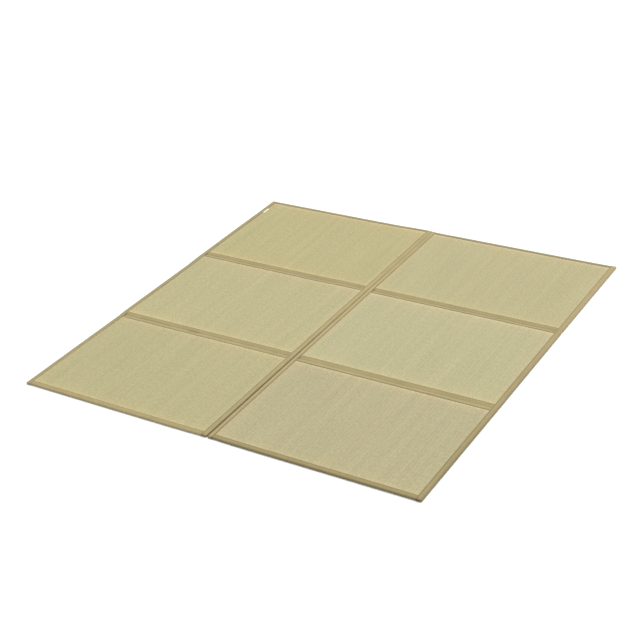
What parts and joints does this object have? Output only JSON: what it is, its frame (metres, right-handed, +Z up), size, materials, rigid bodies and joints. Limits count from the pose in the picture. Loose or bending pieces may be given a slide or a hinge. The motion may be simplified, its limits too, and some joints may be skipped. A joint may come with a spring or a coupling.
{
  "type": "folding tatami mat",
  "caption": "Flat folding tatami floor mat of rush panels in two hinged columns, bound with cloth tape, with a long slit between the columns.",
  "frame": {"origin": "under the middle of the mat, on the floor", "axes": "+X across the two columns to the right, +Y along the slit to the joined back edge, +Z up through the thickness"},
  "size_m": [1.7637, 1.8, 0.009],
  "materials": {
    "rush": "woven dry rush, light yellow green, satin",
    "binding_cloth": "plain matt cotton tape, grey brown",
    "label_cloth": "bare off-white woven tape"
  },
  "bodies": {
    "root": {"panel_left_front": "rush", "panel_left_middle": "rush", "panel_left_back": "rush", "panel_right_front": "rush", "panel_right_middle": "rush", "panel_right_back": "rush", "tape_left_outer": "binding_cloth", "tape_left_slit": "binding_cloth", "tape_left_front": "binding_cloth", "tape_left_back": "binding_cloth", "tape_right_outer": "binding_cloth", "tape_right_slit": "binding_cloth", "tape_right_front": "binding_cloth", "tape_right_back": "binding_cloth", "hinge_tape_left_1": "binding_cloth", "hinge_tape_left_2": "binding_cloth", "hinge_tape_right_1": "binding_cloth", "hinge_tape_right_2": "binding_cloth", "join_tape": "binding_cloth", "label": "label_cloth"}
  },
  "joints": []
}
